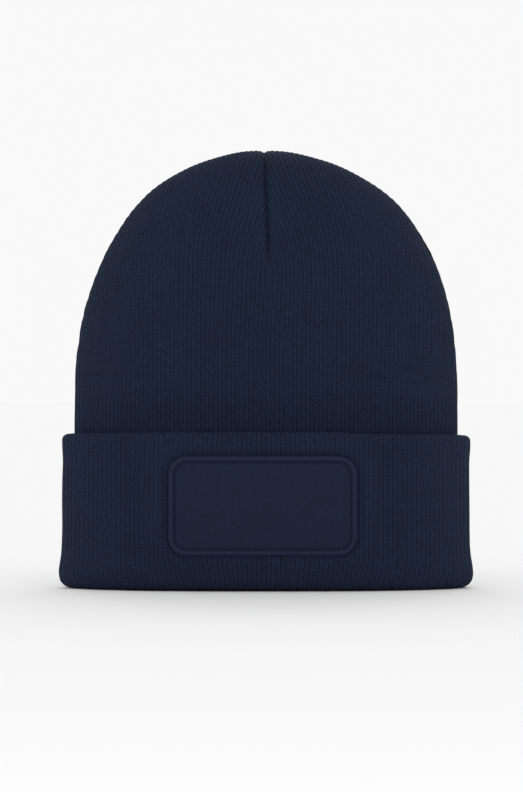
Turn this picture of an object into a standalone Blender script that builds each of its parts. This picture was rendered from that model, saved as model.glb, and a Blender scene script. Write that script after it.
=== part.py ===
"""Cuffed rib-knit beanie with a blank sewn patch, standing on its bottom fold.

Metres, +Z up. The front, with the patch, faces -Y. The origin is on the ground, in the middle of the
hat's footprint. The real hat is one long rib tube, worn double: it is closed at both ends by four-dart
crowns, one end is pushed up inside the other as the lining, and the doubled edge is turned up as the cuff.
Here the tube is divided into solids at its folds, so that the cuff and the crown can move apart.
"""
import math

import bmesh
import bpy
from mathutils import Matrix, Vector

# Overall sizes
CUFF_WIDTH = 0.217          # across the cuff, side fold to side fold
CUFF_DEPTH = 0.080          # front to back, lightly filled out
CUFF_HEIGHT = 0.0836        # ground to the cuff's top edge
HAT_HEIGHT = 0.232          # ground to the top of the crown

# Fabric and the spaces between its layers
PLY = 0.0024                # thickness of one layer of rib knit
CUFF_GAP = 0.0004           # between the cuff's two layers
SLIDE_CLEARANCE = 0.0017    # between the cuff and the crown that slides in it
LINING_GAP = 0.0008         # between shell and lining beside the cuff
SEAM_ROOM = 0.0044          # how much wider that space is at the crown's seams
TOUCH = 0.0003              # clearance of solids that meet

# Section of the tube: |x/a|^FACE_POWER + |y/b|^EDGE_POWER = 1
FACE_POWER = 3.2            # the higher, the flatter the front and back
EDGE_POWER = 1.5            # the lower, the sharper the side folds
SIDES = 56                  # faces round the tube, a multiple of four

# Dome of the crown: width falls as (1 - rise^RISE_POWER)^(1 / WIDTH_POWER)
RISE_POWER = 2.5
WIDTH_POWER = 2.3
DEPTH_POWER = 2.6
CROWN_BULGE = 0.004         # how far front and back swell above the cuff
CROWN_ROWS = 11

# Bottom fold
FOLD_CORNER = 0.005         # radius of the rolled corners
FOLD_STEPS = 4              # faces in each rolled corner

# Seams that close the crown
SEAM_RADIUS = 0.00045
FRONT_SEAM_START = 30.0     # degrees up the dome
SIDE_SEAM_START = 42.0
SEAM_END = 84.0
TACK_RADIUS = 0.0016

# Patch on the cuff
PATCH_WIDTH = 0.098
PATCH_HEIGHT = 0.0518
PATCH_CORNER = 0.0085
PATCH_MIDDLE = 0.0445       # height of its middle
PATCH_SHIFT = -0.0018       # sewn a little off the middle
BACKING_THICKNESS = 0.0008
PANEL_THICKNESS = 0.0009
BORDER_WIDTH = 0.0028
BORDER_HEIGHT = 0.0030      # from the back of the backing to the crest of the border
GROOVE_WIDTH = 0.0012       # between border and panel, where the line of stitches runs
STITCH_RADIUS = 0.0003

# Care label inside the back
LABEL_WIDTH = 0.024
LABEL_LENGTH = 0.036
LABEL_THICKNESS = 0.0005
LABEL_TOP = 0.076           # height of its sewn edge
LABEL_CLEARANCE = 0.0005
LABEL_STITCH_RADIUS = 0.0003

# Worked out from the above
CUFF_STACK = 2 * PLY + CUFF_GAP
SHELL_INSET = CUFF_STACK + SLIDE_CLEARANCE
LINING_INSET = SHELL_INSET + PLY + LINING_GAP
WALL_STACK = LINING_INSET + PLY
PATCH_PROUD = TOUCH + BORDER_HEIGHT
BODY_Y = PATCH_PROUD / 2    # centres the hat and its patch together on the origin
DOME_BASE = CUFF_HEIGHT
DOME_RISE = HAT_HEIGHT - DOME_BASE
FOOT_TOP = 2 * PLY + CUFF_GAP

NAVY = (0.012, 0.018, 0.038, 1.0)
NAVY_SATIN = (0.012, 0.017, 0.037, 1.0)
NAVY_THREAD = (0.014, 0.021, 0.044, 1.0)
LABEL_WHITE = (0.62, 0.62, 0.60, 1.0)


def clear_scene():
    for old in list(bpy.data.objects):
        bpy.data.objects.remove(old, do_unlink=True)


def make_material(name, colour, roughness):
    material = bpy.data.materials.new(name)
    material.use_nodes = True
    shader = material.node_tree.nodes["Principled BSDF"]
    shader.inputs["Base Color"].default_value = colour
    shader.inputs["Roughness"].default_value = roughness
    shader.inputs["Metallic"].default_value = 0.0
    return material


def add_object(name, data, collection, material):
    data.materials.append(material)
    piece = bpy.data.objects.new(name, data)
    collection.objects.link(piece)
    return piece


def section_point(turn, half_width, half_depth):
    """A point of the tube's section, at an angle-like turn from the +X side fold."""
    across, along = math.cos(turn), math.sin(turn)
    x = half_width * math.copysign(abs(across) ** (2 / FACE_POWER), across)
    y = half_depth * math.copysign(abs(along) ** (2 / EDGE_POWER), along)
    return x, y


def even_turns(half_width, half_depth, count):
    """Turns that space count points evenly round a section, with one on each axis."""
    fine = 400
    quarter = [section_point(math.pi / 2 * i / fine, half_width, half_depth) for i in range(fine + 1)]
    lengths = [0.0]
    for start, end in zip(quarter, quarter[1:]):
        lengths.append(lengths[-1] + math.dist(start, end))
    steps = count // 4
    turns = []
    reached = 0
    for step in range(steps):
        wanted = lengths[-1] * step / steps
        while lengths[reached + 1] < wanted:
            reached += 1
        part = (wanted - lengths[reached]) / (lengths[reached + 1] - lengths[reached])
        turns.append(math.pi / 2 * (reached + part) / fine)
    mirrored = [math.pi - turn for turn in turns[:0:-1]]
    upper = turns + [math.pi / 2] + mirrored
    return upper + [turn + math.pi for turn in upper]


TURNS = even_turns(CUFF_WIDTH / 2, CUFF_DEPTH / 2, SIDES)


def tube_ring(inset, height):
    """Points round the straight tube, at a depth inset behind the cuff's outer face."""
    ring = []
    for turn in TURNS:
        x, y = section_point(turn, CUFF_WIDTH / 2 - inset, CUFF_DEPTH / 2 - inset)
        ring.append(Vector((x, y + BODY_Y, height)))
    return ring


def lining_space(slope):
    """Space between shell and lining, which opens up towards the crown's seams."""
    return LINING_GAP + SEAM_ROOM * math.sin(slope)


def dome_point(turn, slope, depth_in):
    """A point of the crown at a slope from 0, at its base, to a right angle, at its top."""
    half_width = CUFF_WIDTH / 2 - SHELL_INSET
    half_depth = CUFF_DEPTH / 2 - SHELL_INSET
    fall = max(math.cos(slope), 0.0)
    climb = math.sin(slope)
    wide = (half_width - depth_in) * fall ** (2 / WIDTH_POWER)
    deep = (half_depth - depth_in) * fall ** (2 / DEPTH_POWER)
    deep += CROWN_BULGE * math.sin(2 * slope)
    x, y = section_point(turn, wide, deep)
    return Vector((x, y + BODY_Y, DOME_BASE + (DOME_RISE - depth_in) * climb ** (2 / RISE_POWER)))


def join_rings(mesh, rings, closed):
    """Bands of faces between neighbouring rings of vertices, outward for rings that run upward."""
    pairs = list(zip(rings, rings[1:]))
    if closed:
        pairs.append((rings[-1], rings[0]))
    for lower, upper in pairs:
        count = len(lower)
        for i in range(count):
            j = (i + 1) % count
            mesh.faces.new((lower[i], lower[j], upper[j], upper[i]))


def finish_mesh(mesh, name):
    bmesh.ops.recalc_face_normals(mesh, faces=mesh.faces[:])
    data = bpy.data.meshes.new(name)
    mesh.to_mesh(data)
    mesh.free()
    data.shade_smooth()
    data.set_sharp_from_angle(angle=math.radians(35))
    return data


def ring_solid(name, profile, collection, material):
    """A closed outline of (inset, height) points, swept once round the tube's section."""
    mesh = bmesh.new()
    rings = [[mesh.verts.new(point) for point in tube_ring(inset, height)] for inset, height in profile]
    join_rings(mesh, rings, closed=True)
    return add_object(name, finish_mesh(mesh, name), collection, material)


def dome_solid(name, base_height, depth_out, collection, material):
    """A layer of the crown: a straight tube below, a dome above, one ply thick, open at the bottom."""
    mesh = bmesh.new()
    slopes = [math.pi / 2 * row / CROWN_ROWS for row in range(CROWN_ROWS)]
    sides = []
    for ply in (0.0, PLY):
        rows = [tube_ring(SHELL_INSET + depth_out(0.0) + ply, base_height)]
        for slope in slopes:
            rows.append([dome_point(turn, slope, depth_out(slope) + ply) for turn in TURNS])
        rings = [[mesh.verts.new(point) for point in row] for row in rows]
        top = mesh.verts.new(dome_point(0.0, math.pi / 2, depth_out(math.pi / 2) + ply))
        for i in range(SIDES):
            mesh.faces.new((rings[-1][i], rings[-1][(i + 1) % SIDES], top))
        join_rings(mesh, rings, closed=False)
        sides.append(rings)
    join_rings(mesh, [sides[0][0], sides[1][0]], closed=False)
    return add_object(name, finish_mesh(mesh, name), collection, material)


def arc(centre, radius, start, end, steps):
    """Points of an arc in the (inset, height) plane, angles in degrees, both ends included."""
    points = []
    for i in range(steps + 1):
        angle = math.radians(start + (end - start) * i / steps)
        points.append((centre[0] + radius * math.cos(angle), centre[1] + radius * math.sin(angle)))
    return points


def make_cuff_layers(collection, material):
    """The two layers of the cuff, which meet along the fold of its top edge."""
    crest = PLY + CUFF_GAP / 2
    centre_height = CUFF_HEIGHT - crest
    lean = math.degrees(math.asin(TOUCH / 2 / crest))
    outer = [(0.0, FOLD_CORNER + TOUCH)]
    outer += arc((crest, centre_height), crest, 180, 90 + lean, FOLD_STEPS)
    outer += [(crest - TOUCH / 2, centre_height + CUFF_GAP / 2), (PLY, centre_height)]
    outer += [(PLY, FOLD_CORNER + TOUCH)]
    ring_solid("cuff_outer_layer", outer, collection, material)

    back = PLY + CUFF_GAP
    nested = FOLD_CORNER - back
    inner = arc((FOLD_CORNER, FOLD_CORNER), nested, 270, 180, FOLD_STEPS)
    inner += [(back, centre_height), (crest + TOUCH / 2, centre_height + CUFF_GAP / 2)]
    inner += arc((crest, centre_height), crest, 90 - lean, 0, FOLD_STEPS)
    inner += [(back + PLY, FOOT_TOP)]
    foot = arc((WALL_STACK - FOLD_CORNER, FOLD_CORNER), nested, -45, -90, FOLD_STEPS // 2)
    inner += [(foot[0][0], FOOT_TOP)] + foot
    ring_solid("cuff_inner_layer", inner, collection, material)


def make_bottom_fold(collection, material):
    """The rolled edge the hat stands on: the cuff's outer layer turning in to become the lining."""
    corner = FOLD_CORNER
    inside = corner - PLY
    profile = arc((corner, corner), corner, 180, 270, FOLD_STEPS)
    profile += arc((WALL_STACK - corner, corner), corner, -90, 0, FOLD_STEPS)
    profile += arc((WALL_STACK - corner, corner), inside, 0, -90, FOLD_STEPS)
    profile += arc((corner, corner), inside, 270, 180, FOLD_STEPS)
    ring_solid("bottom_fold", profile, collection, material)


def make_crown_layers(collection, material):
    """The shell, and the lining behind it."""
    dome_solid("outer_shell", FOOT_TOP + TOUCH, lambda slope: 0.0, collection, material)
    dome_solid("inner_lining", FOLD_CORNER + TOUCH, lambda slope: PLY + lining_space(slope),
               collection, material)


def wire(name, points, radius, closed, collection, material):
    """A thread or a sewn ridge: a thin round tube along points."""
    data = bpy.data.curves.new(name, "CURVE")
    data.dimensions = "3D"
    data.bevel_depth = radius
    data.bevel_resolution = 1
    data.use_fill_caps = True
    spline = data.splines.new("POLY")
    spline.points.add(len(points) - 1)
    for target, point in zip(spline.points, points):
        target.co = (*point, 1.0)
    spline.use_cyclic_u = closed
    return add_object(name, data, collection, material)


def make_crown_seams(collection, material):
    """Sewn ridges of the four darts, on the shell and on the lining, in the space between the two."""
    places = {"right": (0.0, SIDE_SEAM_START), "back": (0.5, FRONT_SEAM_START),
              "left": (1.0, SIDE_SEAM_START), "front": (1.5, FRONT_SEAM_START)}
    for layer, share in (("shell", 0.30), ("lining", 0.70)):
        for side, (half_turns, start) in places.items():
            points = []
            for row in range(CROWN_ROWS + 1):
                slope = math.pi / 2 * row / CROWN_ROWS
                if start <= math.degrees(slope) <= SEAM_END:
                    turn = math.pi * half_turns
                    under_shell = dome_point(turn, slope, PLY)
                    over_lining = dome_point(turn, slope, PLY + lining_space(slope))
                    points.append(under_shell.lerp(over_lining, share))
            wire(f"{layer}_seam_{side}", points, SEAM_RADIUS, False, collection, material)


def make_crown_tack(collection, material):
    """The knot where the darts meet, which holds shell and lining together at the top."""
    mesh = bmesh.new()
    bmesh.ops.create_uvsphere(mesh, u_segments=12, v_segments=8, radius=TACK_RADIUS)
    middle = HAT_HEIGHT - PLY - lining_space(math.pi / 2) / 2
    bmesh.ops.translate(mesh, verts=mesh.verts, vec=(0.0, BODY_Y, middle))
    add_object("crown_tack", finish_mesh(mesh, "crown_tack"), collection, material)


def rounded_outline(width, height, corner, steps):
    """Corner-rounded rectangle in the XZ plane, about its own middle."""
    points = []
    for sign_x, sign_z, start in ((1, 1, 0), (-1, 1, 90), (-1, -1, 180), (1, -1, 270)):
        for i in range(steps + 1):
            angle = math.radians(start + 90 * i / steps)
            x = sign_x * (width / 2 - corner) + corner * math.cos(angle)
            z = sign_z * (height / 2 - corner) + corner * math.sin(angle)
            points.append((x, z))
    return points


def plate(name, width, height, corner, front, thickness, collection, material):
    """A rounded flat plate on the patch's middle: front is how far its face stands before the cuff."""
    face_y = BODY_Y - CUFF_DEPTH / 2 - front
    mesh = bmesh.new()
    outline = [mesh.verts.new((x + PATCH_SHIFT, face_y, z + PATCH_MIDDLE))
               for x, z in rounded_outline(width, height, corner, 5)]
    face = mesh.faces.new(outline)
    grown = bmesh.ops.extrude_face_region(mesh, geom=[face])
    moved = [item for item in grown["geom"] if isinstance(item, bmesh.types.BMVert)]
    bmesh.ops.translate(mesh, verts=moved, vec=(0.0, thickness, 0.0))
    return add_object(name, finish_mesh(mesh, name), collection, material)


def make_patch(collection, satin, thread):
    """Backing, smooth panel, raised border round them, and the line of stitches inside the border."""
    hole_width = PATCH_WIDTH - 2 * BORDER_WIDTH
    hole_height = PATCH_HEIGHT - 2 * BORDER_WIDTH
    hole_corner = PATCH_CORNER - BORDER_WIDTH / 2
    backing_front = TOUCH + BACKING_THICKNESS
    plate("patch_backing", hole_width - 2 * TOUCH, hole_height - 2 * TOUCH, hole_corner - TOUCH,
          backing_front, BACKING_THICKNESS, collection, satin)
    plate("patch_panel", hole_width - 2 * GROOVE_WIDTH, hole_height - 2 * GROOVE_WIDTH,
          hole_corner - GROOVE_WIDTH, backing_front + TOUCH + PANEL_THICKNESS,
          PANEL_THICKNESS, collection, satin)

    back_y = BODY_Y - CUFF_DEPTH / 2 - TOUCH
    steps = 5
    outer = rounded_outline(PATCH_WIDTH, PATCH_HEIGHT, PATCH_CORNER, steps)
    inner = rounded_outline(hole_width, hole_height, hole_corner, steps)
    mesh = bmesh.new()
    rings = []
    profile = ((0.0, 0.0), (0.0, 0.55), (0.25, 0.9), (0.5, 1.0), (0.75, 0.9), (1.0, 0.55), (1.0, 0.0))
    for share, rise in profile:
        ring = []
        for (x0, z0), (x1, z1) in zip(outer, inner):
            x = x0 + (x1 - x0) * share + PATCH_SHIFT
            z = z0 + (z1 - z0) * share + PATCH_MIDDLE
            ring.append(mesh.verts.new((x, back_y - BORDER_HEIGHT * rise, z)))
        rings.append(ring)
    join_rings(mesh, rings, closed=True)
    add_object("patch_border", finish_mesh(mesh, "patch_border"), collection, thread)

    stitch_y = BODY_Y - CUFF_DEPTH / 2 - backing_front - TOUCH - STITCH_RADIUS
    line = rounded_outline(hole_width - GROOVE_WIDTH, hole_height - GROOVE_WIDTH,
                           hole_corner - GROOVE_WIDTH / 2, steps)
    points = [(x + PATCH_SHIFT, stitch_y, z + PATCH_MIDDLE) for x, z in line]
    wire("patch_stitching", points, STITCH_RADIUS, True, collection, thread)


def make_care_label(collection, satin, thread):
    """A blank tape label that hangs inside the back from a row of stitches."""
    lining_face = BODY_Y + CUFF_DEPTH / 2 - WALL_STACK
    middle_y = lining_face - LABEL_CLEARANCE - LABEL_THICKNESS / 2
    mesh = bmesh.new()
    bmesh.ops.create_cube(mesh, size=1.0)
    bmesh.ops.scale(mesh, verts=mesh.verts, vec=(LABEL_WIDTH, LABEL_THICKNESS, LABEL_LENGTH))
    bmesh.ops.translate(mesh, verts=mesh.verts, vec=(0.0, 0.0, -LABEL_LENGTH / 2))
    label = add_object("care_label", finish_mesh(mesh, "care_label"), collection, satin)
    label.matrix_world = Matrix.Translation((0.0, middle_y, LABEL_TOP))

    height = LABEL_TOP + TOUCH + LABEL_STITCH_RADIUS
    ends = [(-LABEL_WIDTH / 2, middle_y, height), (LABEL_WIDTH / 2, middle_y, height)]
    wire("label_stitching", ends, LABEL_STITCH_RADIUS, False, collection, thread)


def main():
    clear_scene()
    collection = bpy.data.collections.new("knit_beanie")
    bpy.context.scene.collection.children.link(collection)
    knit = make_material("rib_knit", NAVY, 0.9)
    satin = make_material("patch_fabric", NAVY_SATIN, 0.6)
    thread = make_material("thread", NAVY_THREAD, 0.7)
    tape = make_material("label_tape", LABEL_WHITE, 0.6)

    make_cuff_layers(collection, knit)
    make_bottom_fold(collection, knit)
    make_crown_layers(collection, knit)
    make_crown_seams(collection, thread)
    make_crown_tack(collection, thread)
    make_patch(collection, satin, thread)
    make_care_label(collection, tape, thread)


main()
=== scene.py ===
"""Looks of the cuffed rib-knit beanie: knit, folds, seams, patch, label, floor, lights and camera.

The front faces -Y and the hat stands on its bottom fold at Z = 0. Every size that comes from the frame is
read from the frame's boxes. Each piece has its own operator, and one panel in the sidebar lists them all.
"""
import math

import bpy
import numpy as np
from bpy.props import FloatProperty, FloatVectorProperty, IntProperty, PointerProperty
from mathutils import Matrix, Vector


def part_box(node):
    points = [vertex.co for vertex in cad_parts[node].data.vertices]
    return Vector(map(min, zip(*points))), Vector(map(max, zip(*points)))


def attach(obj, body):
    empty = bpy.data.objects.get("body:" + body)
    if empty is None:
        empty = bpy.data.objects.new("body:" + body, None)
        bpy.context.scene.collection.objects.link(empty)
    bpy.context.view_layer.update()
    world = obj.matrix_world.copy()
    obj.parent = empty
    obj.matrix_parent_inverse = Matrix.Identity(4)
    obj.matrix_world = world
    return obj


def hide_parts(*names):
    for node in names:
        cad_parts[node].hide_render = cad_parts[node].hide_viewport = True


bl_info = {
    "name": "Knit Beanie",
    "version": (1, 0, 0),
    "blender": (4, 5, 0),
    "location": "3D View > Sidebar > Beanie",
    "description": "Makes the knit, patch, stitches and label of a cuffed rib-knit beanie",
    "category": "Add Mesh",
}

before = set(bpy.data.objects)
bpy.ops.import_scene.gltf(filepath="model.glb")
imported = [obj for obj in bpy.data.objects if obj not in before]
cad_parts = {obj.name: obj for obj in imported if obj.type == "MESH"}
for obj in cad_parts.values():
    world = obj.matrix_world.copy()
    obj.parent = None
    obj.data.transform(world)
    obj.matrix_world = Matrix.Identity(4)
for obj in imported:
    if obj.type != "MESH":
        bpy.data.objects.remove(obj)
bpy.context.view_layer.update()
CUFF_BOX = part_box("cuff_outer_layer")
INNER_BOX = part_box("cuff_inner_layer")
SHELL_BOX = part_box("outer_shell")
LINING_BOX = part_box("inner_lining")
FOLD_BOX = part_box("bottom_fold")
PANEL_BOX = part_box("patch_panel")
BORDER_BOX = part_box("patch_border")
STITCH_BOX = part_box("patch_stitching")
LABEL_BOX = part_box("care_label")

# Section of the tube, as the frame's walls have it: |x/a|^FACE_POWER + |y/b|^EDGE_POWER = 1
FACE_POWER = 3.2
EDGE_POWER = 1.5
SECTION_STEPS = 260                 # along a quarter of the section, to measure it
# Dome of the crown
RISE_POWER = 2.5
WIDTH_POWER = 2.3
DEPTH_POWER = 2.6
CROWN_BULGE = 0.004
DOME_END = math.radians(89.2)       # a fan of faces closes the rest
DOME_STEPS = 1800
# Below 1, the ribs are wider apart round the side folds
CROWN_SPREAD = 0.50
CUFF_SPREAD = 0.40

CUFF_HALF_WIDTH = (CUFF_BOX[1].x - CUFF_BOX[0].x) / 2
CUFF_HALF_DEPTH = (CUFF_BOX[1].y - CUFF_BOX[0].y) / 2
MIDDLE_Y = (CUFF_BOX[1].y + CUFF_BOX[0].y) / 2
CUFF_TOP = CUFF_BOX[1].z
HAT_TOP = SHELL_BOX[1].z
INNER_INSET = CUFF_HALF_WIDTH - INNER_BOX[1].x
SHELL_INSET = CUFF_HALF_WIDTH - SHELL_BOX[1].x
LINING_INSET = CUFF_HALF_WIDTH - LINING_BOX[1].x
PLY = 0.0024
CLEARANCE = 0.0003                  # of the knit inside the frame's walls
CROWN_RIB_SUNK = 0.35               # share of a rib's relief that lies below the cloth's middle
CUFF_RIB_SUNK = 0.4
CUFF_RELIEF = 1.05                  # rib relief of the cuff over the crown's
LINING_RELIEF = 0.5
CROWN_TOP_INSET = 0.0010

# Unevenness of the knit
DRIFT_SIZES = (0.085, 0.047, 0.026)
DRIFT_WAVES = 3                     # of each size
DRIFT_GAIN = 1.6
CROWN_WANDER = 0.10                 # how far the ribs stray, in ribs
CROWN_WANDER_ACROSS = 0.7           # below 1, they stray more slowly across the crown
CROWN_WANDER_RISE = (0.09, 0.12)
CUFF_WANDER = 0.07
CUFF_WANDER_UP = 0.6                # below 1, they stray more slowly up the cuff
CROWN_WAVES = 0.0007
CUFF_WAVES = 0.0004

# How the filled crown sits. A pair gives the two heights, or the two distances from the middle, between
# which an effect comes in or fades.
TUCK = 0.0024                       # in behind the cuff's edge
TUCK_FADE = (CUFF_TOP + 0.002, CUFF_TOP + 0.020)
HEM_TUCK = 0.3                      # share of the tuck at the hem, which lies against the cuff
HEM_RISE = (0.014, 0.030)
FULLNESS = 0.0028                   # out, above the cuff
FULLNESS_RISE = (CUFF_TOP + 0.004, CUFF_TOP + 0.035)
FULLNESS_FADE = (CUFF_TOP + 0.07, HAT_TOP - 0.01)
LEAN = 0.0014                       # the crown's right side stands out more than its left
LEAN_RISE = (0.105, 0.15)
LEAN_FADE = (0.195, 0.222)
LEAN_REACH = (0.02, 0.08)
NARROWING = 0.013                   # share of the width, from the shoulders up
NARROWING_RISE = (0.15, 0.20)
SHOULDER_DROP = 0.0010              # on both sides of the front seam
DROP_RISE = (0.19, 0.225)
DROP_REACH = (0.008, 0.03)

# Darts of the crown
SEWN_BELOW = 0.006                  # a dart fades in from this far under its start
SEWN_ABOVE = 0.016
SEAM_HALF_WIDTH = 0.0012
SEAM_SHARPNESS = 1.5
SIDE_SEAM_SHARPNESS = 1.6
SIDE_SEAM = 0.25                    # depth of a side seam, as a share of the middle one's
PUFF = 0.0005                       # swell of the cloth beside a seam
PUFF_REACH = 0.009
NEAR_TOP = (HAT_TOP - 0.030, HAT_TOP - 0.010)
WAVES_RISE = (CUFF_TOP + 0.004, CUFF_TOP + 0.03)

# Cuff
CUFF_ROW = 0.0013                   # height of a mesh row
CUFF_FACE_RISE = (0.006, 0.016)     # the bottom fold stays even
BELLY = 0.0010                      # swell of the bottom fold
BELLY_HEIGHT = 0.009
BELLY_REACH = 0.006
FLARE_REACH = (0.08, 0.107)         # distances from the middle between which the side folds flare
RIGHT_REACH = (0.02, 0.08)

# Patch
STITCHES = 140                      # round it
PATCH_CORNER = 0.0098
SMALLEST_CORNER = 0.0002
CORNER_POINTS = 24
ROLL_HEIGHT = 0.0021                # border's crest over the knit
ROLL_LAP = 0.0001
GROOVE_RISE = 0.0013                # cloth in the groove over the knit
GROOVE_HALF_WIDTH = 0.0018
STITCH_RADIUS = 0.0003
OUT_OF_CLOTH = np.array([0.0, -1.0, 0.0])     # in front of the hat's face


class BeanieKnit(bpy.types.PropertyGroup):
    """Sizes of the rib."""
    crown_ribs: IntProperty(name="Crown ribs", description="Ribs in a quarter of the crown",
                            default=46, min=8)
    cuff_ribs: IntProperty(name="Cuff ribs", description="Ribs in a quarter of the cuff", default=44, min=8)
    columns: IntProperty(name="Columns", description="Mesh columns in a rib", default=6, min=4)
    row: FloatProperty(name="Row", description="Height of a mesh row", default=0.0022, unit="LENGTH")
    side_row: FloatProperty(name="Outline row", description="Longest mesh row along the crown's outline",
                            default=0.0010, unit="LENGTH")
    relief: FloatProperty(name="Rib relief", description="Height of a rib over the groove beside it",
                          default=0.0007, unit="LENGTH")
    course: FloatProperty(name="Course", description="Height of one stitch", default=0.0018, unit="LENGTH")
    seam_start: FloatProperty(name="Dart start", description="Height where the darts begin",
                              default=0.168, unit="LENGTH")
    seam_depth: FloatProperty(name="Seam depth", description="How deep the darts sink",
                              default=0.0015, unit="LENGTH")
    dart_slope: FloatProperty(name="Dart slope", description="How far a rib leans to its seam, over its rise",
                              default=0.30)


class BeanieColours(bpy.types.PropertyGroup):
    """Colours of the yarns."""
    yarn: FloatVectorProperty(name="Yarn", description="Colour of the knit", subtype="COLOR",
                              default=(0.0081, 0.0149, 0.0357))
    panel: FloatVectorProperty(name="Panel", description="Colour of the patch's face", subtype="COLOR",
                               default=(0.0042, 0.0096, 0.0275))
    border: FloatVectorProperty(name="Border", description="Colour of the patch's rolled edge",
                                subtype="COLOR", default=(0.0072, 0.0132, 0.0352))
    thread: FloatVectorProperty(name="Thread", description="Colour of the sewing thread", subtype="COLOR",
                                default=(0.0090, 0.0140, 0.0330))
    tape: FloatVectorProperty(name="Tape", description="Colour of the label", subtype="COLOR",
                              default=(0.62, 0.62, 0.60))
    ground: FloatVectorProperty(name="Ground", description="Colour of floor and backdrop", subtype="COLOR",
                                default=(0.783, 0.783, 0.783))


def smooth(value, low, high):
    """0 below low, 1 above high, and a smooth step between."""
    share = np.clip((value - low) / (high - low), 0.0, 1.0)
    return share * share * (3 - 2 * share)


def bell(distance, width):
    """1 at no distance, and falling off on both sides over a width."""
    return np.exp(-(distance / width) ** 2)


def box_size(box):
    """Width along X, height along Z, and middle of a node's box."""
    return box[1].x - box[0].x, box[1].z - box[0].z, (box[0] + box[1]) / 2


# ---------------- surfaces of the tube

def quarter_places(half_width, half_depth, shares, spread):
    """Points of a quarter section from the front middle, share 0, to the side fold, share 1.

    A spread below 1 sets the ribs wider apart where the tube turns at its side folds. The third result is
    the quarter's length as the ribs count it.
    """
    turn = np.linspace(math.pi / 2, 0.0, SECTION_STEPS)
    x = half_width * np.clip(np.cos(turn), 0, 1) ** (2 / FACE_POWER)
    y = half_depth * np.clip(np.sin(turn), 0, 1) ** (2 / EDGE_POWER)
    eased = np.concatenate([[0.0], np.cumsum(np.hypot(np.diff(x), spread * np.diff(y)))])
    at = shares * eased[-1]
    return np.interp(at, eased, x), np.interp(at, eased, y), eased[-1]


def tube_grid(rows, columns, spread):
    """Base points of a half tube, from the left side fold over the front to the right one.

    rows holds (half width, half depth, height). Returns the points, the share of the quarter that each
    column lies at, and each row's quarter length as the ribs count it.
    """
    shares = np.linspace(0.0, 1.0, columns + 1)
    points = np.empty((len(rows), 2 * columns + 1, 3))
    lengths = np.empty(len(rows))
    for i, (half_width, half_depth, height) in enumerate(rows):
        x, y, lengths[i] = quarter_places(half_width, half_depth, shares, spread)
        points[i, columns:, 0], points[i, :columns + 1, 0] = x, -x[::-1]
        points[i, columns:, 1], points[i, :columns + 1, 1] = -y, -y[::-1]
        points[i, :, 2] = height
    share = np.abs(np.linspace(-1.0, 1.0, 2 * columns + 1))
    return points, share, lengths


def outward(points):
    """Unit normals of a grid whose columns run to +X along the front and whose rows run upward."""
    along = np.gradient(points, axis=1)
    up = np.gradient(points, axis=0)
    normal = np.cross(along, up)
    return normal / np.maximum(np.linalg.norm(normal, axis=2, keepdims=True), 1e-12)


def rib_height(phase):
    """Profile across a rib: grooves at whole phases, and a shallow line between the legs of its stitches."""
    fullness, line_depth, line_width = 0.7, 0.28, 0.10
    across = phase - np.floor(phase)
    return np.abs(np.sin(math.pi * across)) ** fullness - line_depth * bell(across - 0.5, line_width)


def drift(x, z, seed):
    """Slow, small unevenness of hand-filled cloth, about -1 to 1."""
    rng = np.random.default_rng(seed)
    total = np.zeros_like(x)
    for size in DRIFT_SIZES:
        for _ in range(DRIFT_WAVES):
            angle, shift = rng.uniform(0, 2 * math.pi, 2)
            total += np.sin((x * math.cos(angle) + z * math.sin(angle)) * 2 * math.pi / size + shift) * size
    return total / (DRIFT_WAVES * sum(DRIFT_SIZES)) * DRIFT_GAIN


def travelled(points):
    """Length along the columns from the first row, for the middle column."""
    middle = points[:, points.shape[1] // 2]
    steps = np.linalg.norm(np.diff(middle, axis=0), axis=1)
    return np.concatenate([[0.0], np.cumsum(steps)])


def courses(points, knit):
    """Stitch count up the columns, as a grid."""
    return (travelled(points) / knit.course)[:, None] + np.zeros(points.shape[:2])


def place_mesh(name, mesh, material):
    """Put a mesh in the scene, shaded smooth, with one material."""
    mesh.shade_smooth()
    mesh.materials.append(material)
    made = bpy.data.objects.new(name, mesh)
    bpy.context.scene.collection.objects.link(made)
    return made


def mesh_from_faces(name, points, faces, material):
    mesh = bpy.data.meshes.new(name)
    mesh.from_pydata([tuple(point) for point in points], [], faces)
    mesh.update()
    return place_mesh(name, mesh, material)


def grid_object(name, points, fields, material, flip=False, top=None):
    """A mesh of quads over a grid of points, with per-point numbers for its material.

    flip turns its faces to the other side, and top is a point that closes the last row with a fan.
    """
    rows, columns = points.shape[:2]
    flat = points.reshape(-1, 3)
    index = np.arange(rows * columns).reshape(rows, columns)
    quads = np.stack([index[:-1, :-1], index[:-1, 1:], index[1:, 1:], index[1:, :-1]], -1).reshape(-1, 4)
    fan = np.empty((0, 3), int)
    if top is not None:
        flat = np.vstack([flat, top])
        last = index[-1]
        fan = np.stack([last[:-1], last[1:], np.full(columns - 1, rows * columns)], -1)
    if flip:
        quads, fan = quads[:, ::-1], fan[:, ::-1]
    mesh = bpy.data.meshes.new(name)
    mesh.vertices.add(len(flat))
    mesh.vertices.foreach_set("co", flat.astype(np.float32).ravel())
    corners = np.concatenate([quads.ravel(), fan.ravel()]).astype(np.int32)
    mesh.loops.add(len(corners))
    mesh.loops.foreach_set("vertex_index", corners)
    starts = np.concatenate([np.arange(len(quads)) * 4, len(quads) * 4 + np.arange(len(fan)) * 3])
    mesh.polygons.add(len(starts))
    mesh.polygons.foreach_set("loop_start", starts.astype(np.int32))
    mesh.update(calc_edges=True)
    for field, values in fields.items():
        layer = mesh.attributes.new(field, "FLOAT", "POINT")
        data = values.ravel()
        if top is not None:
            data = np.append(data, data[-1])
        layer.data.foreach_set("value", data.astype(np.float32))
    return place_mesh(name, mesh, material)


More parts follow.
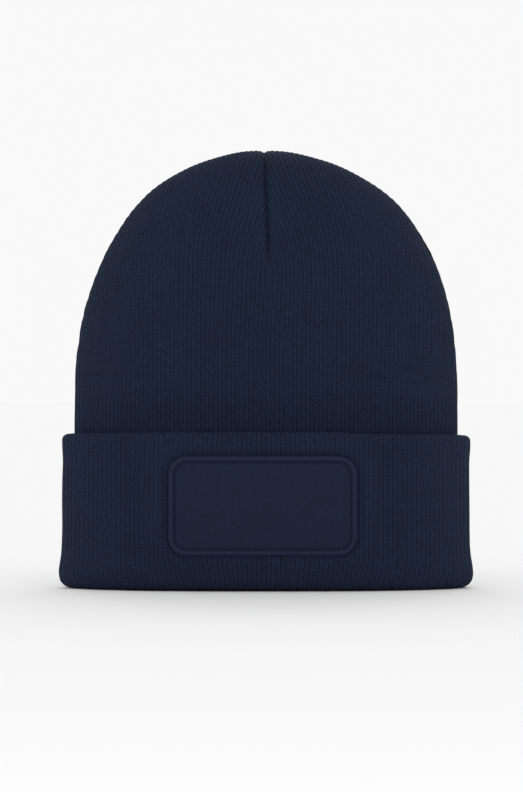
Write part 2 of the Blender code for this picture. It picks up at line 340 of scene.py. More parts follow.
def turn_back(points):
    """The back half from the front half, turned half a turn about the vertical."""
    return points * np.array([-1.0, -1.0, 1.0])


def knit_half(name, points, phase, knit, material, back, crease=None, flip=False, top=None):
    """Make a half tube of knit from its grid, on the frame's middle plane and turned if it is a back half."""
    if back:
        points = turn_back(points)
    points[..., 1] += MIDDLE_Y
    if crease is None:
        crease = np.zeros_like(phase)
    fields = {"rib": phase, "course": courses(points, knit), "crease": crease}
    return grid_object(name, points, fields, material, flip=flip, top=top)


# ---------------- crown

def crown_rows(step, side_step, inset, base, top_inset):
    """(half width, half depth, height) of each row of a crown layer.

    The rows are a step apart up the front, and no more than side_step apart along the outline, where
    the ribs run over it.
    """
    half_width = CUFF_HALF_WIDTH - inset
    half_depth = CUFF_HALF_DEPTH - inset
    straight = int(round((CUFF_TOP - base) / step))
    rows = [(half_width, half_depth, base + (CUFF_TOP - base) * i / straight) for i in range(straight)]
    slope = np.linspace(0.0, DOME_END, DOME_STEPS)
    climb, fall = np.sin(slope), np.cos(slope)
    wide = half_width * fall ** (2 / WIDTH_POWER)
    deep = half_depth * fall ** (2 / DEPTH_POWER) + CROWN_BULGE * np.sin(2 * slope)
    high = CUFF_TOP + (HAT_TOP - CUFF_TOP - top_inset) * climb ** (2 / RISE_POWER)
    front = np.hypot(np.diff(deep), np.diff(high)) / step
    side = np.abs(np.diff(wide)) / side_step
    length = np.concatenate([[0.0], np.cumsum(np.maximum(front, side))])
    at = np.linspace(0.0, length[-1], int(round(length[-1])) + 1)
    rows += list(zip(np.interp(at, length, wide), np.interp(at, length, deep), np.interp(at, length, high)))
    return rows


def crown_phase(knit, share, lengths, heights):
    """Rib count from the front middle over a quarter of the crown.

    Beside a seam the ribs lean at the dart's slope from its start upward, and farther from it they turn
    over later and more slowly, as the crown rounds off.
    """
    lag, far_lag, lag_reach = 0.003, 0.022, 0.035
    turn, far_turn, turn_reach = 0.003, 0.005, 0.025
    pitch = lengths[0] / knit.crown_ribs
    reach = share[None, :] * lengths[:, None]
    turn_over = knit.seam_start + lag + far_lag * (1 - np.exp(-reach / lag_reach))
    soft = turn + far_turn * (1 - np.exp(-reach / turn_reach))
    leaned = knit.dart_slope * soft * np.logaddexp(0.0, (heights[:, None] - turn_over) / soft)
    return (reach + leaned) / pitch


def seam_line(heights, knit):
    """How far right of the middle the front seam runs; it wanders a little on its way up."""
    start_right, drift_left, run_in = 0.0016, 0.0027, 0.04
    rise = np.clip((heights - knit.seam_start) / (HAT_TOP - knit.seam_start), 0.0, 1.0)
    return start_right * smooth(heights, knit.seam_start - run_in, knit.seam_start) - drift_left * rise


def settle_crown(points, heights, knit, side):
    """Set the filled crown: tucked behind the cuff's edge, its hem against the cuff, and fuller above.

    side is 1 for the front half and -1 for the back half, whose grid runs the other way.
    """
    seam_reach = 0.035
    x, depth = side * points[..., 0], points[..., 1]
    tuck = -TUCK * (1 - smooth(heights, *TUCK_FADE))
    tuck = tuck * (HEM_TUCK + (1 - HEM_TUCK) * smooth(heights, *HEM_RISE))
    fuller = FULLNESS * smooth(heights, *FULLNESS_RISE) * (1 - smooth(heights, *FULLNESS_FADE))
    points[..., 1] -= (tuck + fuller)[:, None] * np.clip(-depth / CUFF_HALF_DEPTH, 0, 1)
    lean = smooth(heights, *LEAN_RISE) * (1 - smooth(heights, *LEAN_FADE))
    moved = LEAN * lean[:, None] * smooth(x, *LEAN_REACH)
    moved += seam_line(heights, knit)[:, None] * bell(x, seam_reach)
    points[..., 0] += side * moved
    points[..., 0] *= 1 - NARROWING * smooth(heights, *NARROWING_RISE)[:, None]
    points[..., 2] -= SHOULDER_DROP * smooth(heights, *DROP_RISE)[:, None] * smooth(np.abs(x), *DROP_REACH)


def seam_groove(distance, sharpness):
    """Depth of a sewn groove, 1 in its middle."""
    return np.exp(-np.abs(distance / SEAM_HALF_WIDTH) ** sharpness)


def make_crown_half(knit, material, name, back):
    """The front or back of the crown's shell: ribs, darts, seam grooves and slow waves."""
    base = SHELL_BOX[0].z + 2 * CLEARANCE
    rows = crown_rows(knit.row, knit.side_row, SHELL_INSET + CLEARANCE, base, CROWN_TOP_INSET)
    points, share, lengths = tube_grid(rows, knit.crown_ribs * knit.columns, CROWN_SPREAD)
    heights = points[:, 0, 2].copy()
    phase = crown_phase(knit, share, lengths, heights)
    x, y, z = (points[..., k].copy() for k in range(3))
    seed, side = (21, -1) if back else (4, 1)
    normal = outward(points)
    wander = CROWN_WANDER * drift(x * CROWN_WANDER_ACROSS, z, seed + 1)
    phase = phase + wander * smooth(heights, *CROWN_WANDER_RISE)[:, None]
    sewn = smooth(heights, knit.seam_start - SEWN_BELOW, knit.seam_start + SEWN_ABOVE)[:, None]
    # crease sinks the seam grooves and also darkens the yarn there in the material: painted shade along the
    # seams
    crease = seam_groove(x, SEAM_SHARPNESS)
    crease = np.maximum(crease, SIDE_SEAM * seam_groove(y, SIDE_SEAM_SHARPNESS)) * sewn
    below_top = 1 - smooth(heights, *NEAR_TOP)[:, None]
    puff = PUFF * (1 - bell(x, PUFF_REACH)) * sewn * below_top
    waves = CROWN_WAVES * drift(x, z, seed) * smooth(heights, *WAVES_RISE)[:, None] * below_top
    height = knit.relief * (rib_height(phase) - CROWN_RIB_SUNK) - knit.seam_depth * crease + puff + waves
    settle_crown(points, heights, knit, side)
    points = points + normal * height[..., None]
    last_row = turn_back(points[-1]) if back else points[-1]
    top = np.array([last_row[:, 0].mean(), MIDDLE_Y, last_row[:, 2].mean() - CLEARANCE])
    half = knit_half(name, points, phase, knit, material, back, crease=crease, top=top)
    return half


def make_lining(knit, material, name, back):
    """The front or back of the lining, whose ribs face the head."""
    step, columns, hem, point_drop = 0.004, 4, 0.007, 0.0002
    top_inset = HAT_TOP - LINING_BOX[1].z + PLY
    rows = crown_rows(step, step, LINING_INSET + PLY, hem, top_inset)
    points, share, lengths = tube_grid(rows, knit.crown_ribs * columns, CROWN_SPREAD)
    phase = crown_phase(knit, share, lengths, points[:, 0, 2])
    points = points - outward(points) * (LINING_RELIEF * knit.relief * rib_height(phase))[..., None]
    top = np.array([0.0, MIDDLE_Y, LINING_BOX[1].z - PLY - point_drop])
    half = knit_half(name, points, phase, knit, material, back, flip=True, top=top)
    return half


# ---------------- cuff

def fold_arc(inset, height, radius, start, end, count):
    """Points of an arc in the cuff's section, from one angle to another in degrees."""
    angles = np.radians(np.linspace(start, end, count))
    return [(inset + radius * math.cos(angle), height + radius * math.sin(angle)) for angle in angles]


def cuff_profile(step):
    """(inset, height) along the cuff: up inside, over the top fold, down its face, round the bottom fold."""
    inner_end, lining_end = 0.001, 0.0015       # the sheet's two ends, over the bottom fold
    back = INNER_INSET + PLY
    crest = back / 2
    corner = FOLD_BOX[1].z
    crest_height = CUFF_TOP - crest
    path = [(back, height) for height in np.linspace(corner + inner_end, crest_height, 14)]
    path += fold_arc(crest, crest_height, crest, start=0, end=180, count=15)[1:]
    count = int(round((crest_height - corner) / step))
    path += [(0.0, height) for height in np.linspace(crest_height, corner, count + 1)[1:]]
    width = LINING_INSET + PLY
    path += fold_arc(corner, corner, corner, start=180, end=270, count=8)[1:]
    path += fold_arc(width - corner, corner, corner, start=-90, end=0, count=8)
    path.append((width, corner + lining_end))
    return path


def patch_reach(x, z):
    """Distance outside the patch's outline, in metres; negative inside it."""
    width, height, middle = box_size(BORDER_BOX)
    over_x = np.abs(x - middle.x) - width / 2 + PATCH_CORNER
    over_z = np.abs(z - middle.z) - height / 2 + PATCH_CORNER
    outside = np.hypot(np.maximum(over_x, 0), np.maximum(over_z, 0))
    return outside + np.minimum(np.maximum(over_x, over_z), 0) - PATCH_CORNER


def press_by_patch(x, z, outer, relief, shift):
    """What the sewn patch does to the knit: rib relief, shift of the cloth, and share of a flat face.

    The ribs go flat under the patch and lower beside it, the cloth swells round it, and the cuff's curve
    straightens behind it.
    """
    flattened, lowered = 0.75, 0.35
    sunk, drawn_in = 0.0003, 0.0002
    swell, swell_reach, swell_width = 0.0009, 0.0048, 0.0030
    ledge, ledge_height = 0.0008, 0.003
    near_width, flat_reach = 0.0022, 0.016
    reach = patch_reach(x, z)
    under = smooth(-reach, -0.0005, 0.002) * outer
    near = bell(np.maximum(reach, 0), near_width) * outer
    relief = relief * (1 - flattened * under) * (1 - lowered * near)
    shift = shift * (1 - under) - sunk * under - drawn_in * near
    shift += swell * bell(reach - swell_reach, swell_width) * outer
    shift += ledge * near * smooth(BORDER_BOX[0].z + ledge_height - z, 0.0, ledge_height)
    return relief, shift, smooth(-reach, -flat_reach, 0.0) * outer


def make_cuff_half(knit, material, name, back):
    """The front or back of the cuff, in one sheet from its inner layer over both folds."""
    rows = [(CUFF_HALF_WIDTH - CLEARANCE - inset, CUFF_HALF_DEPTH - CLEARANCE - inset, height)
            for inset, height in cuff_profile(CUFF_ROW)]
    points, share, _ = tube_grid(rows, knit.cuff_ribs * knit.columns, CUFF_SPREAD)
    phase = share[None, :] * knit.cuff_ribs + np.zeros((len(rows), 1))
    x, z = points[..., 0].copy(), points[..., 2].copy()
    normal = -outward(points)
    seed = 33 if back else 12
    outer = normal[..., 1] < 0
    face = smooth(z, *CUFF_FACE_RISE) * outer
    phase = phase + CUFF_WANDER * drift(x, z * CUFF_WANDER_UP, seed + 1) * face
    relief = np.full_like(x, knit.relief * CUFF_RELIEF)
    shift = CUFF_WAVES * drift(x, z, seed) * face + BELLY * bell(z - BELLY_HEIGHT, BELLY_REACH) * outer
    if not back:
        relief, shift, flat = press_by_patch(x, z, outer, relief, shift)
    points = points + normal * (relief * (rib_height(phase) - CUFF_RIB_SUNK) + shift)[..., None]
    if not back:
        points[..., 1] += (section_depth(x) - CUFF_HALF_DEPTH) * flat
    points[..., 2] += cuff_bow(-x if back else x, z)
    points[..., 0] += np.sign(x) * (cuff_flare(z) * smooth(np.abs(x), *FLARE_REACH) - fold_draw(x, z))
    half = knit_half(name, points, phase, knit, material, back, flip=True)
    return half


def section_depth(x):
    """How far the cuff's face stands out at x."""
    share = np.clip(np.abs(x) / CUFF_HALF_WIDTH, 0, 1)
    return CUFF_HALF_DEPTH * (1 - share ** FACE_POWER) ** (1 / EDGE_POWER)


def cuff_flare(z):
    """The side folds stand out a little just above the bottom fold and draw in above that."""
    flare, flare_height = 0.0006, 0.006
    pinch = smooth(z, 0.012, 0.035) * (1 - smooth(z, CUFF_TOP - 0.016, CUFF_TOP - 0.004))
    return flare * (bell(z - flare_height, flare_height) - pinch)


def fold_draw(x, z):
    """How far the ribs lean inward where they turn under the bottom fold."""
    draw, draw_height = 0.0026, 0.018
    share = np.clip(np.abs(x) / CUFF_HALF_WIDTH, 0, 1)
    return draw * (1 - smooth(z, 0.0, draw_height)) * np.minimum(share * 2.5, 1.0) * (1 - share ** 6)


def cuff_bow(x, z):
    """The top edge droops toward the side folds, and the bottom fold arches off the ground in the middle."""
    slack, side_droop, corner_droop, right_droop = 0.0014, 0.0011, 0.0005, 0.0008
    arch, stand = 0.0011, 0.0004
    share = np.abs(x) / CUFF_HALF_WIDTH
    droop = slack + side_droop * share ** 2
    droop += corner_droop * smooth(share, 0.90, 1.0) + right_droop * smooth(x, *RIGHT_REACH)
    arched = arch * (1 - share ** 3) * (1 - smooth(z, 0.004, 0.03))
    return arched - droop * smooth(z, 0.03, CUFF_TOP) + stand


# ---------------- patch

def rounded_ring(box, grow, corner, count):
    """Points round a rounded rectangle of the patch, grown by a distance, evenly spaced by length.

    Returns x, z, the x and z of the unit direction that points out of the rectangle, and the ring's length.
    """
    width, height, middle = box_size(box)
    half_x, half_z = width / 2 + grow, height / 2 + grow
    radius = max(corner + grow, SMALLEST_CORNER)
    fine = []
    for sign_x, sign_z, start in ((1, 1, 0), (-1, 1, 90), (-1, -1, 180), (1, -1, 270)):
        for angle in np.radians(np.linspace(start, start + 90, CORNER_POINTS)):
            out_x, out_z = math.cos(angle), math.sin(angle)
            fine.append((sign_x * (half_x - radius) + radius * out_x,
                         sign_z * (half_z - radius) + radius * out_z, out_x, out_z))
    fine.append(fine[0])
    fine = np.array(fine)
    length = np.concatenate([[0.0], np.cumsum(np.hypot(np.diff(fine[:, 0]), np.diff(fine[:, 1])))])
    at = np.linspace(0.0, length[-1], count, endpoint=False)
    x, z, away_x, away_z = (np.interp(at, length, fine[:, k]) for k in range(4))
    size = np.hypot(away_x, away_z)
    return x + middle.x, z + middle.z, away_x / size, away_z / size, length[-1]


def ring_object(name, points, material, cap=False):
    """A mesh over closed rings of points, (rings, count, 3), with its last ring filled if cap is set."""
    rings, count = points.shape[:2]
    index = np.arange(rings * count).reshape(rings, count)
    following = np.roll(index, -1, axis=1)
    faces = np.stack([index[:-1], following[:-1], following[1:], index[1:]], -1).reshape(-1, 4).tolist()
    if cap:
        last = index[-1].tolist()
        for i in range(count // 2 - 1):
            faces.append((last[i], last[i + 1], last[count - 2 - i], last[count - 1 - i]))
    return mesh_from_faces(name, points.reshape(-1, 3), faces, material)


def make_panel_cloth(material):
    """The smooth blank panel: turned-in edges, and a face that swells a little between its stitches."""
    front, back = PANEL_BOX[0].y + 0.0002, PANEL_BOX[1].y
    corner, count, rings = PATCH_CORNER - (PANEL_BOX[0].x - BORDER_BOX[0].x), 2 * STITCHES, []
    swell, swell_reach, unevenness = 0.00022, 0.012, 0.00012
    pucker, pucker_reach = 0.00006, 0.0018
    # Distance in from the edge, and how far the cloth is sunk there, as a share of the panel's thickness
    steps = [(-0.0004, 1.0), (-0.0003, 0.5), (-0.0001, 0.24), (0.0003, 0.10), (0.0010, 0.03), (0.0020, 0.01)]
    middle_inset = (PANEL_BOX[1].z - PANEL_BOX[0].z) / 2 - 0.0006
    steps += [(inset, 0.0) for inset in np.linspace(0.004, middle_inset, 14)]
    beat = np.where(np.arange(count) % 2, 1, -1)
    for inset, sunk in steps:
        inside = max(inset, 0.0)
        x, z, _, _, _ = rounded_ring(PANEL_BOX, -inset, corner, count)
        raised = swell * math.sin(math.pi / 2 * min(inside / swell_reach, 1.0))
        raised = raised + pucker * beat * math.exp(-inside / pucker_reach)
        y = front + sunk * (back - front) - raised + unevenness * drift(x, z, 77)
        rings.append(np.stack([x, y, z], -1))
    return ring_object("panel_cloth", np.array(rings)[:, ::-1], material, cap=True)


def make_border_roll(material):
    """The raised edge round the panel: soft cloth rolled over, flattened on top, drawn in at every stitch."""
    side_flatness, top_flatness = 0.8, 0.75
    pull_in, pull_down, unevenness = 0.00010, 0.00005, 0.00007
    groove = PANEL_BOX[0].x - STITCH_BOX[0].x + ROLL_LAP
    width = PANEL_BOX[0].x - BORDER_BOX[0].x - groove
    foot = BORDER_BOX[1].y - 0.0001
    count = 6 * STITCHES
    beat = np.cos(np.arange(count) / count * 2 * math.pi * STITCHES)
    x, z, away_x, away_z, _ = rounded_ring(BORDER_BOX, -width / 2, PATCH_CORNER, count)
    uneven = unevenness * drift(x * 1.7, z * 1.7, 5)
    rings = []
    for angle in np.radians(np.linspace(0, 180, 21)):
        out, up = math.cos(angle), math.sin(angle)
        across = width / 2 * math.copysign(abs(out) ** side_flatness, out) + pull_in * beat * max(-out, 0.0)
        y = foot - ROLL_HEIGHT * up ** top_flatness + (uneven - pull_down * beat) * up
        rings.append(np.stack([x + away_x * across, y, z + away_z * across], -1))
    return ring_object("border_roll", np.array(rings)[:, ::-1], material)


def make_groove_strip(material):
    """The backing cloth that shows in the groove under the stitches."""
    count, rings, depth = 3 * STITCHES, [], 0.00015
    front = BORDER_BOX[1].y - GROOVE_RISE
    inner = PANEL_BOX[0].x - BORDER_BOX[0].x + 0.0010
    for share in np.linspace(0.0, 1.0, 7):
        x, z, _, _, _ = rounded_ring(BORDER_BOX, 2 * GROOVE_HALF_WIDTH * share - inner, PATCH_CORNER, count)
        dip = depth * math.sin(math.pi * share)
        rings.append(np.stack([x, np.full(count, front + dip), z], -1))
    return ring_object("groove_strip", np.array(rings), material)


def stitch_mesh(name, places, radius, material):
    """Short raised stitches: each place is (middle, direction along, direction up from the cloth, length)."""
    around, along, end_dip = 8, 7, 1.2
    points, faces = [], []
    for middle, direction, up, length in places:
        side = np.cross(direction, up)
        first = len(points)
        for i in range(along):
            share = i / (along - 1) * 2 - 1
            swell = math.sqrt(max(1 - share ** 4, 0.02))
            centre = middle + direction * share * length / 2 - up * radius * end_dip * share ** 4
            for k in range(around):
                angle = 2 * math.pi * k / around
                points.append(centre + (side * math.cos(angle) + up * math.sin(angle)) * radius * swell)
        for i in range(along - 1):
            for k in range(around):
                a, b = first + i * around + k, first + i * around + (k + 1) % around
                faces.append((a, b, b + around, a + around))
        last = first + (along - 1) * around
        faces.append(tuple(first + k for k in reversed(range(around))))
        faces.append(tuple(last + k for k in range(around)))
    return mesh_from_faces(name, points, faces, material)


def make_patch_stitches(material):
    """Lockstitches in the groove between border and panel, each turned a little from the line."""
    turned, stitch_share, rise_share = 0.10, 0.78, 0.2
    corner = PATCH_CORNER - (STITCH_BOX[0].x - BORDER_BOX[0].x)
    x, z, away_x, away_z, length = rounded_ring(STITCH_BOX, -STITCH_RADIUS, corner, STITCHES)
    y = BORDER_BOX[1].y - GROOVE_RISE - STITCH_RADIUS * rise_share
    places = []
    for i in range(STITCHES):
        away = np.array([away_x[i], 0.0, away_z[i]])
        direction = np.array([-away_z[i], 0.0, away_x[i]]) + turned * away
        direction /= np.linalg.norm(direction)
        places.append((np.array([x[i], y, z[i]]), direction, OUT_OF_CLOTH, length / STITCHES * stitch_share))
    return stitch_mesh("patch_stitches", places, STITCH_RADIUS, material)


def make_label(material):
    """Blank woven tape that hangs from its sewn edge with a slight curl."""
    rows, columns = 60, 40
    curl, cup, ripple, ripple_turns, thickness = 0.0035, 0.0006, 0.0003, 9, 0.0004
    width, length, middle = box_size(LABEL_BOX)
    across = np.linspace(-0.5, 0.5, columns + 1)[None, :] + np.zeros((rows + 1, 1))
    down = np.linspace(1.0, 0.0, rows + 1)[:, None] + np.zeros((1, columns + 1))
    y = middle.y - curl * down ** 2 - cup * np.cos(across * 2 * math.pi) * down
    y -= ripple * np.sin(down * ripple_turns) * down
    points = np.stack([across * width, y, LABEL_BOX[1].z - down * length], -1)
    made = grid_object("label_tape", points, {"rib": across, "course": down}, material)
    shell = made.modifiers.new("thickness", "SOLIDIFY")
    shell.thickness = thickness
    shell.offset = 0.0
    return made


def make_label_stitches(material):
    """The row of stitches that holds the label's edge."""
    count, stitch_share = 9, 0.75
    width, _, middle = box_size(LABEL_BOX)
    _, _, row_middle = box_size(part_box("label_stitching"))
    places = []
    for i in range(count):
        x = (i + 0.5) / count * width - width / 2
        places.append((np.array([x, middle.y, row_middle.z]), np.array([1.0, 0.0, 0.0]), OUT_OF_CLOTH,
                       width / count * stitch_share))
    return stitch_mesh("label_stitches", places, STITCH_RADIUS, material)


# ---------------- materials

def new_material(name, roughness, sheen, tint):
    """A matt cloth or thread; the fibres' sheen is soft and dull."""
    material = bpy.data.materials.new(name)
    material.use_nodes = True
    tree = material.node_tree
    shader = tree.nodes["Principled BSDF"]
    shader.inputs["Roughness"].default_value = roughness
    shader.inputs["Specular IOR Level"].default_value = 0.15
    shader.inputs["Sheen Weight"].default_value = sheen
    shader.inputs["Sheen Roughness"].default_value = 0.45
    shader.inputs["Sheen Tint"].default_value = (*tint, 1.0)
    return material, tree, shader


def maths(tree, operation, first, second=None, third=None):
    """A math node's result; each input is a number or another node's output."""
    node = tree.nodes.new("ShaderNodeMath")
    node.operation = operation
    for at, value in enumerate((first, second, third)):
        if value is None:
            continue
        if isinstance(value, (int, float)):
            node.inputs[at].default_value = value
        else:
            tree.links.new(value, node.inputs[at])
    return node.outputs[0]


def scaled(tree, value, gain, base):
    """gain times the value, plus a number or another output."""
    return maths(tree, "MULTIPLY_ADD", value, gain, base)


def product(tree, *values):
    """All the values multiplied together."""
    total = values[0]
    for value in values[1:]:
        total = maths(tree, "MULTIPLY", total, value)
    return total


def wave(tree, value, period):
    """A sine, -1 to 1, that repeats each time the value grows by a period."""
    return maths(tree, "SINE", maths(tree, "MULTIPLY", value, 2 * math.pi / period))


def field(tree, name):
    """A number that the mesh holds at each point."""
    node = tree.nodes.new("ShaderNodeAttribute")
    node.attribute_name = name
    return node.outputs["Fac"]


def place_axes(tree):
    """X, Y and Z of the surface's point."""
    where = tree.nodes.new("ShaderNodeTexCoord").outputs["Object"]
    apart = tree.nodes.new("ShaderNodeSeparateXYZ")
    tree.links.new(where, apart.inputs[0])
    return apart.outputs["X"], apart.outputs["Y"], apart.outputs["Z"]


def noise(tree, scale, detail=2.0):
    """Soft random cloudiness, 0 to 1; scale is about how many clouds lie along a metre."""
    node = tree.nodes.new("ShaderNodeTexNoise")
    node.inputs["Scale"].default_value = scale
    node.inputs["Detail"].default_value = detail
    node.inputs["Roughness"].default_value = 0.6
    where = tree.nodes.new("ShaderNodeTexCoord")
    tree.links.new(where.outputs["Object"], node.inputs["Vector"])
    return node.outputs["Fac"]


def raise_surface(tree, shader, height, strength, distance):
    """Let the light see a fine relief of this height."""
    bump = tree.nodes.new("ShaderNodeBump")
    bump.inputs["Strength"].default_value = strength
    bump.inputs["Distance"].default_value = distance
    tree.links.new(height, bump.inputs["Height"])
    tree.links.new(bump.outputs["Normal"], shader.inputs["Normal"])


def shade(tree, shader, colour, factor):
    """Colour the surface with a colour times a factor."""
    node = tree.nodes.new("ShaderNodeVectorMath")
    node.operation = "SCALE"
    node.inputs[0].default_value = colour
    tree.links.new(factor, node.inputs["Scale"])
    tree.links.new(node.outputs["Vector"], shader.inputs["Base Color"])


def knit_material(colours):
    """Matt acrylic rib: V stitches up each rib, soft fuzz and slightly uneven dye, with painted shade that
    darkens the yarn in the grooves, between the stitches' legs and strands, and along the seams.
    """
    material, tree, shader = new_material("rib_knit_yarn", roughness=0.9, sheen=0.02, tint=(0.45, 0.55, 0.85))
    rib, course, crease = field(tree, "rib"), field(tree, "course"), field(tree, "crease")
    # Distance from the rib's middle, 0.5 in its groove, and the two legs of its stitches
    across = maths(tree, "ABSOLUTE", maths(tree, "SUBTRACT", maths(tree, "FRACT", rib), 0.5))
    legs = maths(tree, "ABSOLUTE", wave(tree, across, 1.0))
    groove = maths(tree, "POWER", maths(tree, "MULTIPLY", across, 2.0), 3.0)
    # Yarn slants up the legs; each rib starts at its own height, and the stitches wander
    rib_number = maths(tree, "FLOOR", rib)
    rib_shift = maths(tree, "FRACT", maths(tree, "MULTIPLY", rib_number, 0.3719))
    slanted = scaled(tree, across, 1.6, scaled(tree, rib_shift, 0.4, course))
    slanted = scaled(tree, noise(tree, scale=220.0), 1.9, slanted)
    strands = scaled(tree, wave(tree, slanted, 1.0), 0.5, 0.5)
    fuzz = noise(tree, scale=2400.0, detail=3.0)
    height = scaled(tree, fuzz, 0.4, product(tree, legs, scaled(tree, strands, 0.7, 0.3)))
    raise_surface(tree, shader, height, strength=0.9, distance=0.0004)
    worn, dye = noise(tree, scale=700.0), noise(tree, scale=34.0)
    # Painted shade: the legs, groove and strands factors darken the yarn in the knit's recesses, and crease
    # darkens it along the seam grooves. worn and dye are random uneven tone.
    tone = product(tree, scaled(tree, legs, 0.62, 0.60), scaled(tree, groove, -0.22, 1.0),
                   scaled(tree, strands, 0.76, 0.62), scaled(tree, worn, 1.1, 0.45),
                   scaled(tree, dye, 0.24, 0.88), scaled(tree, crease, -0.45, 1.0))
    shade(tree, shader, colours.yarn, tone)
    return material


def twill_material(name, colour):
    """Fine smooth twill with a dull sheen."""
    line_pitch, weft_pitch, slope = 0.00062, 0.00036, 0.8
    material, tree, shader = new_material(name, roughness=0.7, sheen=0.0, tint=(0.5, 0.6, 0.9))
    x, _, z = place_axes(tree)
    lines = wave(tree, scaled(tree, z, slope, x), line_pitch)
    weft = wave(tree, z, weft_pitch)
    height = scaled(tree, noise(tree, scale=1800.0), 0.9, scaled(tree, weft, 0.3, lines))
    raise_surface(tree, shader, height, strength=0.35, distance=0.00008)
    cloudy, speckle = noise(tree, scale=60.0), noise(tree, scale=900.0)
    tone = scaled(tree, lines, 0.05, scaled(tree, cloudy, 0.16, 0.92))
    tone = product(tree, scaled(tree, speckle, 1.0, 0.5), tone)
    shade(tree, shader, colour, tone)
    return material


def thread_material(colours):
    """Twisted polyester thread."""
    twist_pitch = 0.00035
    material, tree, shader = new_material("sewing_thread", roughness=0.55, sheen=0.1, tint=(0.5, 0.6, 0.9))
    x, y, z = place_axes(tree)
    twist = wave(tree, maths(tree, "ADD", maths(tree, "ADD", x, z), y), twist_pitch)
    raise_surface(tree, shader, twist, strength=0.6, distance=0.00006)
    shade(tree, shader, colours.thread, scaled(tree, twist, 0.15, 0.95))
    return material


def tape_material(colours):
    """White satin-woven tape."""
    warp_pitch, weft_pitch = 0.0003, 0.0005
    material, tree, shader = new_material("label_satin", roughness=0.42, sheen=0.1, tint=(1.0, 1.0, 1.0))
    x, _, z = place_axes(tree)
    weave = maths(tree, "ADD", wave(tree, x, warp_pitch), wave(tree, z, weft_pitch))
    raise_surface(tree, shader, weave, strength=0.4, distance=0.00005)
    shade(tree, shader, colours.tape, scaled(tree, weave, 0.03, 0.95))
    return material


def dress(node, material):
    """A CAD node keeps its shape and takes a finished material."""
    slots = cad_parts[node].data.materials
    slots.clear()
    slots.append(material)


# ---------------- stage

def area_light(name, place, target, size, power):
    """A soft rectangle of light that the camera doesn't see."""
    data = bpy.data.lights.new(name, "AREA")
    data.shape = "RECTANGLE"
    data.size, data.size_y = size
    data.energy = power
    light = bpy.data.objects.new(name, data)
    bpy.context.scene.collection.objects.link(light)
    light.location = place
    light.visible_camera = False
    light.rotation_euler = (Vector(target) - Vector(place)).to_track_quat("-Z", "Y").to_euler()


def soft_sun(name, tilt, angle, power):
    """A wide, soft sun, tilted from overhead: from behind the hat where the tilt is negative."""
    data = bpy.data.lights.new(name, "SUN")
    data.energy = power
    data.angle = math.radians(angle)
    light = bpy.data.objects.new(name, data)
    bpy.context.scene.collection.objects.link(light)
    light.rotation_euler = (math.radians(tilt), 0.0, 0.0)


def make_ground(colours):
    """A wide pale floor that meets the sky without a line."""
    sides, radius = 64, 60.0
    turns = np.arange(sides) / sides * 2 * math.pi
    rim = [(radius * math.cos(turn), radius * math.sin(turn), 0.0) for turn in turns]
    material = bpy.data.materials.new("studio_ground")
    material.use_nodes = True
    shader = material.node_tree.nodes["Principled BSDF"]
    shader.inputs["Base Color"].default_value = (*colours.ground, 1.0)
    shader.inputs["Roughness"].default_value = 0.9
    shader.inputs["Specular IOR Level"].default_value = 0.0
    mesh_from_faces("studio_ground", rim, [tuple(range(sides))], material)


class BEANIE_OT_stage(bpy.types.Operator):
    """Make the pale ground, the soft lights and the camera"""
    bl_idname = "beanie.stage"
    bl_label = "Stage"

    def execute(self, context):
        scene = context.scene
        make_ground(scene.beanie_colours)
        world = bpy.data.worlds.new("studio")
        world.use_nodes = True
        sky = world.node_tree.nodes["Background"]
        sky.inputs["Color"].default_value = (1.0, 1.0, 1.0, 1.0)
        sky.inputs["Strength"].default_value = 0.947
        scene.world = world
        scene.view_settings.view_transform = "Standard"
        soft_sun("back_sun", tilt=-55, angle=46, power=0.95)
        soft_sun("front_sun", tilt=40, angle=40, power=0.30)
        area_light("low_fill", place=(0.0, -1.3, 0.03), target=(0.0, 0.0, 0.02), size=(1.6, 0.03), power=3)
        distance, frame_height, sensor_height = 1.8, 0.419, 36.0
        data = bpy.data.cameras.new("camera")
        data.sensor_fit = "VERTICAL"
        data.sensor_height = sensor_height
        data.lens = sensor_height * distance / frame_height
        data.clip_end = 50.0
        camera = bpy.data.objects.new("camera", data)
        scene.collection.objects.link(camera)
        camera.location = (-0.0024, -distance, 0.1015)
        camera.rotation_euler = (math.radians(90), 0.0, 0.0)
        scene.camera = camera
        return {"FINISHED"}


class BEANIE_OT_crown(bpy.types.Operator):
    """Knit the crown's shell and its lining"""
    bl_idname = "beanie.crown"
    bl_label = "Crown"

    def execute(self, context):
        scene = context.scene
        knit = scene.beanie_knit
        material = knit_material(scene.beanie_colours)
        for name, back in (("crown_front", False), ("crown_back", True)):
            half = make_crown_half(knit, material, name, back)
            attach(half, "crown")
            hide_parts("outer_shell")
        for name, back in (("lining_front", False), ("lining_back", True)):
            half = make_lining(knit, material, name, back)
            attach(half, "crown")
            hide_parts("inner_lining")
        return {"FINISHED"}


class BEANIE_OT_cuff(bpy.types.Operator):
    """Knit the turned-up cuff with its folds"""
    bl_idname = "beanie.cuff"
    bl_label = "Cuff"

    def execute(self, context):
        scene = context.scene
        knit = scene.beanie_knit
        material = bpy.data.materials["rib_knit_yarn"]
        for name, back in (("cuff_front", False), ("cuff_back", True)):
            half = make_cuff_half(knit, material, name, back)
            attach(half, "cuff")
            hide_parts("cuff_outer_layer", "cuff_inner_layer", "bottom_fold")
        return {"FINISHED"}


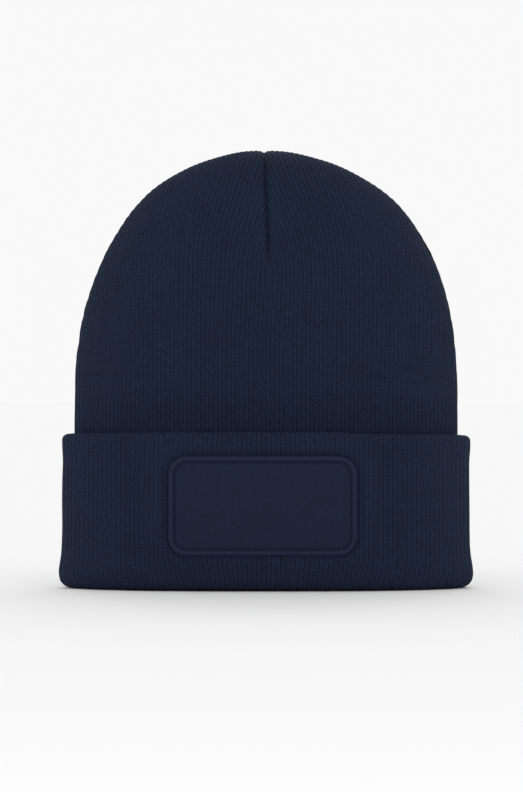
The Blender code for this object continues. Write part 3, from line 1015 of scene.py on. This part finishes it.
class BEANIE_OT_patch(bpy.types.Operator):
    """Sew the blank patch on the cuff: panel, rolled border and stitches"""
    bl_idname = "beanie.patch"
    bl_label = "Patch"

    def execute(self, context):
        scene = context.scene
        cloth = twill_material("patch_twill", scene.beanie_colours.panel)
        edging = twill_material("patch_edging", scene.beanie_colours.border)
        thread = thread_material(scene.beanie_colours)
        panel = make_panel_cloth(cloth)
        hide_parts("patch_panel")
        border = make_border_roll(edging)
        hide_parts("patch_border")
        strip = make_groove_strip(cloth)
        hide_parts("patch_backing")
        stitches = make_patch_stitches(thread)
        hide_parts("patch_stitching")
        for piece in (panel, border, strip, stitches):
            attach(piece, "cuff")
        return {"FINISHED"}


class BEANIE_OT_seams(bpy.types.Operator):
    """Give the sewn ridges between shell and lining their thread"""
    bl_idname = "beanie.seams"
    bl_label = "Crown seams"

    def execute(self, context):
        thread = bpy.data.materials["sewing_thread"]
        for layer in ("shell", "lining"):
            for side in ("front", "back", "left", "right"):
                dress(f"{layer}_seam_{side}", thread)
        dress("crown_tack", thread)
        return {"FINISHED"}


class BEANIE_OT_label(bpy.types.Operator):
    """Hang the blank label inside the back"""
    bl_idname = "beanie.label"
    bl_label = "Care label"

    def execute(self, context):
        scene = context.scene
        label = make_label(tape_material(scene.beanie_colours))
        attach(label, "label")
        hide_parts("care_label")
        stitches = make_label_stitches(bpy.data.materials["sewing_thread"])
        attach(stitches, "crown")
        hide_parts("label_stitching")
        return {"FINISHED"}


class BEANIE_PT_panel(bpy.types.Panel):
    """Buttons for every piece of the beanie"""
    bl_label = "Knit Beanie"
    bl_idname = "BEANIE_PT_panel"
    bl_space_type = "VIEW_3D"
    bl_region_type = "UI"
    bl_category = "Beanie"

    def draw(self, context):
        for operator in OPERATORS:
            self.layout.operator(operator.bl_idname)


OPERATORS = (BEANIE_OT_stage, BEANIE_OT_crown, BEANIE_OT_cuff, BEANIE_OT_patch, BEANIE_OT_seams,
             BEANIE_OT_label)
CLASSES = (BeanieKnit, BeanieColours, *OPERATORS, BEANIE_PT_panel)


def register():
    for kind in CLASSES:
        bpy.utils.register_class(kind)
    bpy.types.Scene.beanie_knit = PointerProperty(type=BeanieKnit)
    bpy.types.Scene.beanie_colours = PointerProperty(type=BeanieColours)


def unregister():
    del bpy.types.Scene.beanie_colours
    del bpy.types.Scene.beanie_knit
    for kind in reversed(CLASSES):
        bpy.utils.unregister_class(kind)


def main():
    register()
    bpy.ops.beanie.stage()
    bpy.ops.beanie.crown()
    bpy.ops.beanie.cuff()
    bpy.ops.beanie.patch()
    bpy.ops.beanie.seams()
    bpy.ops.beanie.label()


if __name__ == "__main__":
    main()
